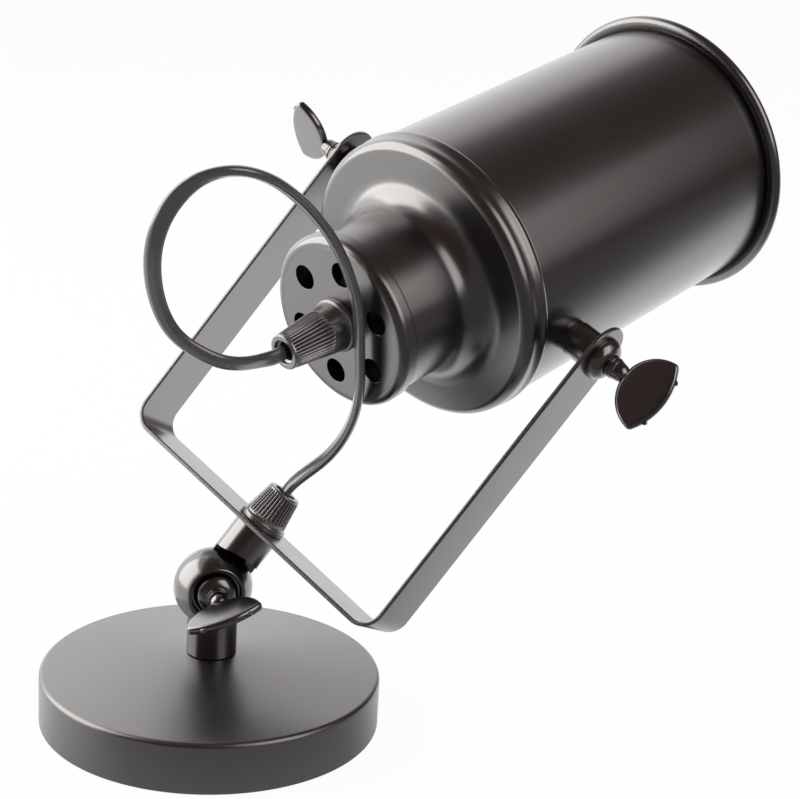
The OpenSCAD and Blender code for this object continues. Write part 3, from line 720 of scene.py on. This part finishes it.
def make_stem_sleeve():
    top = STEM_REACH - 0.3
    sleeve = [(r, ball_height(r, BALL_R)) for r in (SPIGOT_R, 7, 7.7, STEM_R)] + rounded([
        (STEM_R, 12), (STEM_R, top, 0.35), (WIRE_R, top), (WIRE_R, SPIGOT_END),
        (SPIGOT_R, SPIGOT_END),
    ], closed=False)
    piece("stem_sleeve_turned", [cut_away(lathe(sleeve), room_to_swing(1))], STEM,
          "stem", black_paint, ("stem_sleeve",))


make_canopy()
make_lower_knuckle()
make_upper_knuckle()
make_stem_sleeve()


# ---------------------------------------------------------------- fork


BEND_MID = BEND_R + STRIP_T / 2
ARM_STRAIGHT = FORK_REACH - BEND_R
BAR_STRAIGHT = NEAR_INNER + FAR_INNER - 2 * BEND_R
BEND_L = BEND_MID * math.pi / 2
STRIP_L = 2 * ARM_STRAIGHT + 2 * BEND_L + BAR_STRAIGHT


def strip_place(u):
    """Point and outward normal (y, z) of the strip's middle, u along it from the near trunnion."""
    for side, inner, along in ((-1, NEAR_INNER, u), (1, FAR_INNER, STRIP_L - u)):
        if along < ARM_STRAIGHT:
            return (side * (inner + STRIP_T / 2), TILT_Z - along), (side, 0)
        if along < ARM_STRAIGHT + BEND_L:
            a = (along - ARM_STRAIGHT) / BEND_MID
            ny, nz = side * math.cos(a), -math.sin(a)
            middle = (side * (inner - BEND_R), BAR_IN + BEND_R)
            return (middle[0] + BEND_MID * ny, middle[1] + BEND_MID * nz), (ny, nz)
    return (-NEAR_INNER + BEND_R + u - ARM_STRAIGHT - BEND_L, BAR_IN - STRIP_T / 2), (0, -1)


def strip_stations():
    arm_and_bend = [ARM_STRAIGHT * i / 16 for i in range(17)] + [
        ARM_STRAIGHT + BEND_L * i / 12 for i in range(1, 13)
    ]
    bar = [arm_and_bend[-1] + BAR_STRAIGHT * i / 12 for i in range(1, 12)]
    return arm_and_bend + bar + [STRIP_L - u for u in reversed(arm_and_bend)]


def strip_outline(inset):
    """Edge points (u, v) of one side of the flat strip, with its round ends."""
    r = STRIP_W / 2 - inset
    turns = [math.radians(90 * (1 - i / 14)) for i in range(14)]
    near = [(-NEAR_ARM_OVER - r * math.sin(a), r * math.cos(a)) for a in turns]
    middle = [(u, r) for u in strip_stations()]
    far = [(STRIP_L + FAR_ARM_OVER + r * math.sin(a), r * math.cos(a)) for a in reversed(turns)]
    return near + middle + far


def make_fork():
    quarter = [math.radians(90 * k / 4) for k in range(5)]
    upper = [
        (STRIP_EDGE_R * (1 - math.sin(a)), STRIP_T / 2 - STRIP_EDGE_R * (1 - math.cos(a)))
        for a in reversed(quarter)
    ]
    levels = sorted(upper + [(inset, -height) for inset, height in upper],
                    key=lambda level: -level[1])
    points, faces, rings = [], [], []
    for inset, height in levels:
        ring = ([], [])
        for u, v in strip_outline(inset):
            (y, z), (ny, nz) = strip_place(u)
            for edge, x in zip(ring, (v, -v)):
                edge.append(len(points))
                points.append((x, y + ny * height, z + nz * height))
        rings.append(ring)
    for (right, left), (right2, left2) in zip(rings, rings[1:]):
        for i in range(len(right) - 1):
            faces.append([right[i], right[i + 1], right2[i + 1], right2[i]])
            faces.append([left[i + 1], left[i], left2[i], left2[i + 1]])
    for right, left in (rings[0], rings[-1]):
        for i in range(len(right) - 1):
            faces.append([right[i], right[i + 1], left[i + 1], left[i]])
    piece("fork_strip", [(points, faces)], FORK, "fork", fork_paint, ("fork",))


make_fork()


# ---------------------------------------------------------------- cord grips


def fluted(outline, flutes, depth, start, end):
    """A closed outline turned about Z, with flutes cut in its outside between two heights."""
    points, faces = lathe(outline, sides=flutes * 10)
    inner_r = GRIP_MOUTH_R + 0.7
    cut = []
    for x, y, z in points:
        r = math.hypot(x, y)
        fade = max(0, min(1, (z - start) / FLUTE_FADE)) * max(0, min(1, (end - z) / FLUTE_FADE))
        if fade > 0 and r > inner_r:
            a = math.atan2(y, x)
            ridge = abs(math.cos(a * flutes / 2)) ** 0.8
            scale = (r - depth * fade * (1 - ridge)) / r
            x, y = x * scale, y * scale
        cut.append((x, y, z))
    return cut, faces


def make_grip(name, size, at, body, node):
    flange_r, tip_r, length = size["flange_r"], size["tip_r"], size["length"]
    flutes_from, flutes_to = size["flutes_from"], length - 0.9
    foot_r = flange_r - 0.5

    def taper(z):
        return foot_r + (tip_r - foot_r) * z / length

    full_from, full_l = flutes_from + FLUTE_FADE, flutes_to - flutes_from - 2 * FLUTE_FADE
    heights = [GRIP_FLANGE_H + 0.5, flutes_from] + [full_from + full_l * i / 8 for i in range(9)]
    side = [(taper(z), z) for z in heights + [flutes_to]]
    outline = (
        rounded([
            (GRIP_BORE_R, 0), (flange_r, 0, 0.4), (flange_r, GRIP_FLANGE_H, 0.7),
            (taper(GRIP_FLANGE_H), GRIP_FLANGE_H, 0.2), side[0],
        ], closed=False)
        + side[1:]
        + rounded([
            side[-1], (tip_r, length, 0.55), (GRIP_MOUTH_R, length, 0.3),
            (GRIP_MOUTH_R, length - 1.1, 0.1), (GRIP_BORE_R, length - 1.5),
            (GRIP_BORE_R, length - 5),
        ], closed=False)[1:]
    )
    piece(name, [fluted(outline, FLUTE_COUNT, FLUTE_DEPTH, flutes_from, flutes_to)], at,
          body, grip_grey, (node,), crease=50)


make_grip("fork_grip_fluted", FORK_GRIP, FORK @ shift(0, 0, BAR_IN), "fork", "fork_grip")
make_grip("shade_grip_fluted", SHADE_GRIP, SHADE @ shift(0, 0, -CAP_REAR) @ turn(180, "X"),
          "shade", "shade_grip")


# ---------------------------------------------------------------- shade


def make_shade_tube():
    outline = rounded([
        (SHADE_IN, -SHADE_REAR, 0.3), (SHADE_R, -SHADE_REAR, 0.5),
        (SHADE_R, SHADE_FRONT), (SHADE_IN, SHADE_FRONT),
    ])
    piece("shade_barrel", [lathe(outline, sides=256)], SHADE,
          "shade", shade_paint, ("shade_tube",))


def angle_in(side_a, side_b, opposite):
    """Angle in degrees between two sides of a triangle."""
    return math.degrees(math.acos(
        (side_a ** 2 + side_b ** 2 - opposite ** 2) / (2 * side_a * side_b)
    ))


def make_front_rim():
    bead = (RIM_R - RIM_BEAD_R, SHADE_FRONT + RIM_L - RIM_BEAD_R)
    outline = (
        [(SHADE_IN, SHADE_FRONT), (SHADE_R, SHADE_FRONT), (SHADE_R, bead[1] - 1)]
        + arc(bead, RIM_BEAD_R, -163, 150, 44)
        + rounded([(bead[0] - 1.9, bead[1] + 1), (SHADE_IN, bead[1] + 0.5, 1.2),
                   (SHADE_IN, SHADE_FRONT)], closed=False)[1:-1]
    )
    piece("rolled_rim", [lathe(outline, sides=256)], SHADE,
          "shade", shade_paint, ("front_rim",))


def make_rear_cap():
    """The cap's ring: a shoulder and a bead, with a shallow valley that runs into both."""
    shoulder = (SHOULDER_FAR_R - SHOULDER_R, -CAP_FACE + SHOULDER_R)
    bead = (BEAD_FAR_R - BEAD_R, -BEAD_AT)
    apart = math.dist(shoulder, bead)
    along = math.degrees(math.atan2(bead[1] - shoulder[1], bead[0] - shoulder[0]))
    rise = along - angle_in(apart, SHOULDER_R + VALLEY_R, BEAD_R + VALLEY_R)
    swell = along - 180 + angle_in(apart, BEAD_R + VALLEY_R, SHOULDER_R + VALLEY_R)
    reach = SHOULDER_R + VALLEY_R
    valley = (shoulder[0] + reach * math.cos(math.radians(rise)),
              shoulder[1] + reach * math.sin(math.radians(rise)))
    lip_r = SHADE_IN - LIP_GAP
    start_r = NECK_R + FLARE_R
    outline = (
        [(start_r, -CAP_FACE)]
        + arc(shoulder, SHOULDER_R, -90, rise, 14)
        + arc(valley, VALLEY_R, 180 + rise, 180 + swell, 8)
        + arc(bead, BEAD_R, swell, 90, 12)
        + [(lip_r, -SHADE_REAR), (lip_r, -SHADE_REAR + LIP_L),
           (lip_r - SHADE_WALL, -SHADE_REAR + LIP_L),
           (lip_r - SHADE_WALL, -CAP_FACE + SHADE_WALL), (start_r, -CAP_FACE + SHADE_WALL)]
    )
    piece("spun_cap", [lathe(outline, sides=256)], SHADE,
          "shade", shade_paint, ("rear_cap",))


def make_rear_neck():
    flare = (NECK_R + FLARE_R, -CAP_FACE - FLARE_R)
    cup_front = -CAP_REAR + CUP_L
    edge = (CUP_R - CUP_EDGE_R, -CAP_REAR + CUP_EDGE_R)
    ledge_z = -CAP_REAR + COVER_T
    outline = (
        arc(flare, FLARE_R, 90, 180, 20)
        + rounded([
            (NECK_R, flare[1]), (NECK_R, cup_front, 0.25), (CUP_R, cup_front, 0.8),
            (CUP_R, edge[1]),
        ], closed=False)[1:]
        + arc(edge, CUP_EDGE_R, 0, -90, 12)[1:]
        + [(COVER_R + 0.02, -CAP_REAR), (COVER_R + 0.02, ledge_z), (LEDGE_R, ledge_z),
           (LEDGE_R, ledge_z + 1.6), (NECK_R - SHADE_WALL, ledge_z + 1.6)]
        + arc(flare, FLARE_R + SHADE_WALL, 180, 90, 16)
    )
    piece("flared_neck", [lathe(outline, sides=192)], SHADE,
          "shade", shade_paint, ("rear_neck",))


def make_rear_cover():
    loops = [circle((0, 0), COVER_R, 160)]
    for i in range(VENT_COUNT):
        a = math.radians(VENT_TURN + 360 * i / VENT_COUNT)
        centre = (VENT_CIRCLE_R * math.cos(a), VENT_CIRCLE_R * math.sin(a))
        loops.append(circle(centre, VENT_R, 48))
    piece("vented_cover", [plate(loops, COVER_T, 0.12)],
          SHADE @ shift(0, 0, -CAP_REAR + COVER_T / 2),
          "shade", shade_paint, ("rear_cover",), crease=50)


def make_spacer(name, side, inner, node):
    top = inner - 0.3
    outline = rounded([
        (SHANK_HOLE_R, SHADE_IN), (SPACER_NECK_R, SHADE_IN), (SPACER_NECK_R, SHADE_R + 1.3, 0.1),
        (SPACER_R, SHADE_R + 1.3, 0.3), (SPACER_R, top, 0.4), (SHANK_HOLE_R, top),
    ])
    piece(name, [lathe(outline, sides=96)], side, "shade", black_paint, (node,))


make_shade_tube()
make_front_rim()
make_rear_cap()
make_rear_neck()
make_rear_cover()
make_spacer("near_spacer_turned", NEAR_SIDE, NEAR_INNER, "near_spacer")
make_spacer("far_spacer_turned", FAR_SIDE, FAR_INNER, "far_spacer")


# ---------------------------------------------------------------- wing screws


def make_washer(name, seat, body, node):
    outline = (
        [(SHANK_R, 0), (DOME_R, 0)]
        + arc((DOME_R - DOME_ROUND, DOME_H - DOME_ROUND), DOME_ROUND, 0, 90, 18)
        + [(SHANK_R, DOME_H)]
    )
    piece(name, [lathe(outline, sides=96)], seat, body, black_paint, (node,))


def wing_outline():
    """Outline of a wing: round towards the pin and flatter outside, with rounded corners."""
    outer_z = WING_END - WING_OUTER_R
    inner_reach, outer_reach = WING_R - WING_CORNER_R, WING_OUTER_R - WING_CORNER_R
    corner_z = (WING_CENTRE + outer_z) / 2 + (
        (outer_reach ** 2 - inner_reach ** 2) / (2 * (WING_CENTRE - outer_z))
    )
    corner_x = math.sqrt(inner_reach ** 2 - (corner_z - WING_CENTRE) ** 2)
    low = math.degrees(math.atan2(corner_z - WING_CENTRE, corner_x))
    high = math.degrees(math.atan2(corner_z - outer_z, corner_x))
    return (
        arc((0, WING_CENTRE), WING_R, 180 - low, 360 + low, 60)
        + arc((corner_x, corner_z), WING_CORNER_R, low, high, 8)[1:]
        + arc((0, outer_z), WING_OUTER_R, high, 180 - high, 30)[1:]
        + arc((-corner_x, corner_z), WING_CORNER_R, 180 - high, 180 - low, 8)[1:-1]
    )


def make_wing(name, seat, shank, body, node):
    foot = DOME_H
    neck_r = PIN_R - 0.5
    pin = rounded([
        (0, -shank), (SHANK_R, -shank, 0.5), (SHANK_R, foot), (PIN_R, foot, 0.25),
        (PIN_R, foot + 0.9, 0.3), (neck_r, foot + 1.0, 0.08), (neck_r, foot + 1.3, 0.08),
        (PIN_R - 0.05, foot + 1.4, 0.3), (PIN_R - 0.3, foot + 2.4, 0.2),
        (PIN_R - 0.45, foot + 2.5, 0.05), (PIN_R - 0.4, foot + 2.7, 0.15),
        (PIN_END_R, PIN_L),
    ], closed=False) + arc((0, PIN_L), PIN_END_R, 0, 90, 16)[1:-1] + [(0, PIN_L + PIN_END_R)]
    shapes = [
        lathe(pin, closed=False, sides=96),
        moved(plate([wing_outline()], WING_T, 1.2), turn(90, "X")),
    ]
    nib = rounded([(0, -NIB_T / 2), (NIB_R, -NIB_T / 2, 0.3), (NIB_R, NIB_T / 2, 0.3),
                   (0, NIB_T / 2)], closed=False)
    nib_z = WING_END - WING_OUTER_R + math.sqrt(WING_OUTER_R ** 2 - NIB_AT ** 2) - 0.2
    for x in (-NIB_AT, NIB_AT):
        shapes.append(moved(lathe(nib, closed=False, sides=32),
                            shift(x, 0, nib_z) @ turn(90, "X")))
    piece(name, shapes, seat, body, black_paint, (node,), crease=45)


make_washer("knuckle_dome_washer", KNUCKLE_SEAT, "knuckle_screw", "knuckle_washer")
make_washer("near_dome_washer", NEAR_SEAT, "near_screw", "near_washer")
make_washer("far_dome_washer", FAR_SEAT, "far_screw", "far_washer")
make_wing("knuckle_wing_screw", KNUCKLE_SEAT, RECESS_FLOOR + BLIND_END - 1, "knuckle_screw",
          "knuckle_wing")
make_wing("near_wing_screw", NEAR_SEAT, ARM_SHANK_L, "near_screw", "near_wing")
make_wing("far_wing_screw", FAR_SEAT, ARM_SHANK_L, "far_screw", "far_wing")


# ---------------------------------------------------------------- hidden pieces


HIDDEN_FINISHES = {
    zinc: ("wall_strap", "base_tube", "rear_locknut", "front_locknut", "fork_tube",
           "shade_tube_nipple", "cover_locknut", "near_nut", "far_nut"),
    brass: ("terminal_screws", "earth_screw", "screw_shell", "centre_contact"),
    off_white: ("terminal_block",),
    holder_black: ("holder_cap", "holder_body", "holder_ring"),
}


def finish_hidden_pieces():
    """The exact solids of the hidden pieces stay, each with its own finish."""
    for finish, nodes in HIDDEN_FINISHES.items():
        for node in nodes:
            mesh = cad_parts[node].data
            mesh.materials.clear()
            mesh.materials.append(finish)


finish_hidden_pieces()


# ---------------------------------------------------------------- floor, backdrop and light


def ray_kinds(tree):
    """The Light Path node, and 1 for rays from the camera or through glass."""
    path = node_at(tree, "ShaderNodeLightPath", -900, 300)
    seen = maths(tree, "MAXIMUM", -700, 300,
                 path.outputs["Is Camera Ray"], path.outputs["Is Transmission Ray"])
    return path, seen.outputs[0]


def how_far_along(tree, where, way, x, y):
    """How far a place or a direction lies along a way."""
    dot = node_at(tree, "ShaderNodeVectorMath", x, y)
    dot.operation = "DOT_PRODUCT"
    dot.inputs[1].default_value = way
    tree.links.new(where, dot.inputs[0])
    return dot.outputs["Value"]


def ramp_of(tree, amount, stops, x, y):
    """A colour ramp with (place, colour) stops."""
    ramp = node_at(tree, "ShaderNodeValToRGB", x, y)
    elements = ramp.color_ramp.elements
    for element, (place, colour) in zip(elements, (stops[0], stops[-1])):
        element.position, element.color = place, (*colour, 1)
    for place, colour in stops[1:-1]:
        elements.new(place).color = (*colour, 1)
    tree.links.new(amount, ramp.inputs["Fac"])
    return ramp.outputs["Color"]


def glow(tree, kind, x, y, colour=None, strength=1.0):
    """The output of an Emission or Background node, white unless a colour is linked to it."""
    node = node_at(tree, kind, x, y)
    node.inputs["Color"].default_value = (1, 1, 1, 1)
    node.inputs["Strength"].default_value = strength
    if colour:
        tree.links.new(colour, node.inputs["Color"])
    return node.outputs[0]


def mixed(tree, share, first, second, x, y):
    mix = node_at(tree, "ShaderNodeMixShader", x, y)
    tree.links.new(share, mix.inputs["Fac"])
    tree.links.new(first, mix.inputs[1])
    tree.links.new(second, mix.inputs[2])
    return mix.outputs["Shader"]


def make_floor():
    """White for the camera with the lamp's shadow. To a mirror it shows painted shade, dark in front of
    the lamp and brighter towards the backdrop.
    """
    mesh = bpy.data.meshes.new("floor")
    a = FLOOR_HALF
    mesh.from_pydata([(-a, -a, 0), (a, -a, 0), (a, a, 0), (-a, a, 0)], [], [[0, 1, 2, 3]])
    floor = placed("floor", mesh)
    floor.location.z = -FLOOR_UNDER
    material, tree, shader = plain_material("pale_floor")
    shader.inputs["Base Color"].default_value = (0.8, 0.8, 0.8, 1)
    shader.inputs["Roughness"].default_value = 0.9
    shader.inputs["Specular IOR Level"].default_value = 0.0
    path, seen = ray_kinds(tree)
    share = maths(tree, "MULTIPLY", -500, 300, seen, FLOOR_WHITE)
    white = glow(tree, "ShaderNodeEmission", -200, -300)
    shown = mixed(tree, share.outputs[0], shader.outputs["BSDF"], white, 200, 0)

    where = node_at(tree, "ShaderNodeTexCoord", -900, -600).outputs["Object"]
    depth = node_at(tree, "ShaderNodeMapRange", -500, -600)
    depth.inputs["From Min"].default_value = FLOOR_FROM
    depth.inputs["From Max"].default_value = FLOOR_TO
    tree.links.new(how_far_along(tree, where, FLOOR_WAY, -700, -600), depth.inputs["Value"])
    colour = ramp_of(tree, depth.outputs["Result"], FLOOR_PAINTED_SHADE_STOPS, -300, -600)
    # A mirror sees painted shade: the floor's glow is darker in front of the lamp, where its shadow
    # falls
    mirrored_painted_shade = glow(tree, "ShaderNodeEmission", 0, -600, colour)
    surface = mixed(tree, path.outputs["Is Glossy Ray"], shown, mirrored_painted_shade, 400, -200)
    tree.links.new(surface, tree.nodes["Material Output"].inputs["Surface"])
    mesh.materials.append(material)


def make_world():
    """White for the camera. A reflection sees a white backdrop behind in a dark room."""
    world = bpy.data.worlds.new("studio")
    bpy.context.scene.world = world
    world.use_nodes = True
    tree = world.node_tree
    tree.nodes.clear()
    path, seen = ray_kinds(tree)
    where = node_at(tree, "ShaderNodeTexCoord", -900, -100).outputs["Generated"]
    amount = how_far_along(tree, where, Vector(BACKDROP_WAY).normalized(), -700, -100)
    colour = ramp_of(tree, amount, ROOM_STOPS, -500, -100)
    room = glow(tree, "ShaderNodeBackground", 400, -100, colour)
    soft = glow(tree, "ShaderNodeBackground", 400, -300, strength=SOFT_LEVEL)
    white = glow(tree, "ShaderNodeBackground", 600, 200)
    lit = mixed(tree, path.outputs["Is Glossy Ray"], soft, room, 700, -200)
    surface = mixed(tree, seen, lit, white, 900, 0)
    output = node_at(tree, "ShaderNodeOutputWorld", 1100, 0)
    tree.links.new(surface, output.inputs["Surface"])


def softbox(name, azimuth, elevation, width, height, radiance):
    """A soft light aimed at the lamp, its sizes in degrees as the lamp sees them.

    Azimuth 0 is behind the lamp and 90 to its right.
    """
    data = bpy.data.lights.new(name, "AREA")
    data.shape = "RECTANGLE"
    data.size = 2 * SOFTBOX_FAR * math.tan(math.radians(width / 2))
    data.size_y = 2 * SOFTBOX_FAR * math.tan(math.radians(height / 2))
    data.energy = radiance * math.pi * data.size * data.size_y
    a, e = math.radians(azimuth), math.radians(elevation)
    away = Vector((math.sin(a) * math.cos(e), math.cos(a) * math.cos(e), math.sin(e)))
    light = placed(name, data)
    light.location = Vector(LAMP_CENTRE) + away * SOFTBOX_FAR
    light.rotation_euler = away.to_track_quat("Z", "Y").to_euler()


make_floor()
make_world()
softbox("left_softbox", azimuth=-70, elevation=20, width=54, height=58, radiance=3.2)
softbox("left_spill", azimuth=-52, elevation=22, width=84, height=88, radiance=0.55)
softbox("right_fill", azimuth=143, elevation=27, width=36, height=48, radiance=1.75)
softbox("right_spill", azimuth=121, elevation=24, width=30, height=32, radiance=0.5)

bpy.context.scene.view_settings.view_transform = "Standard"
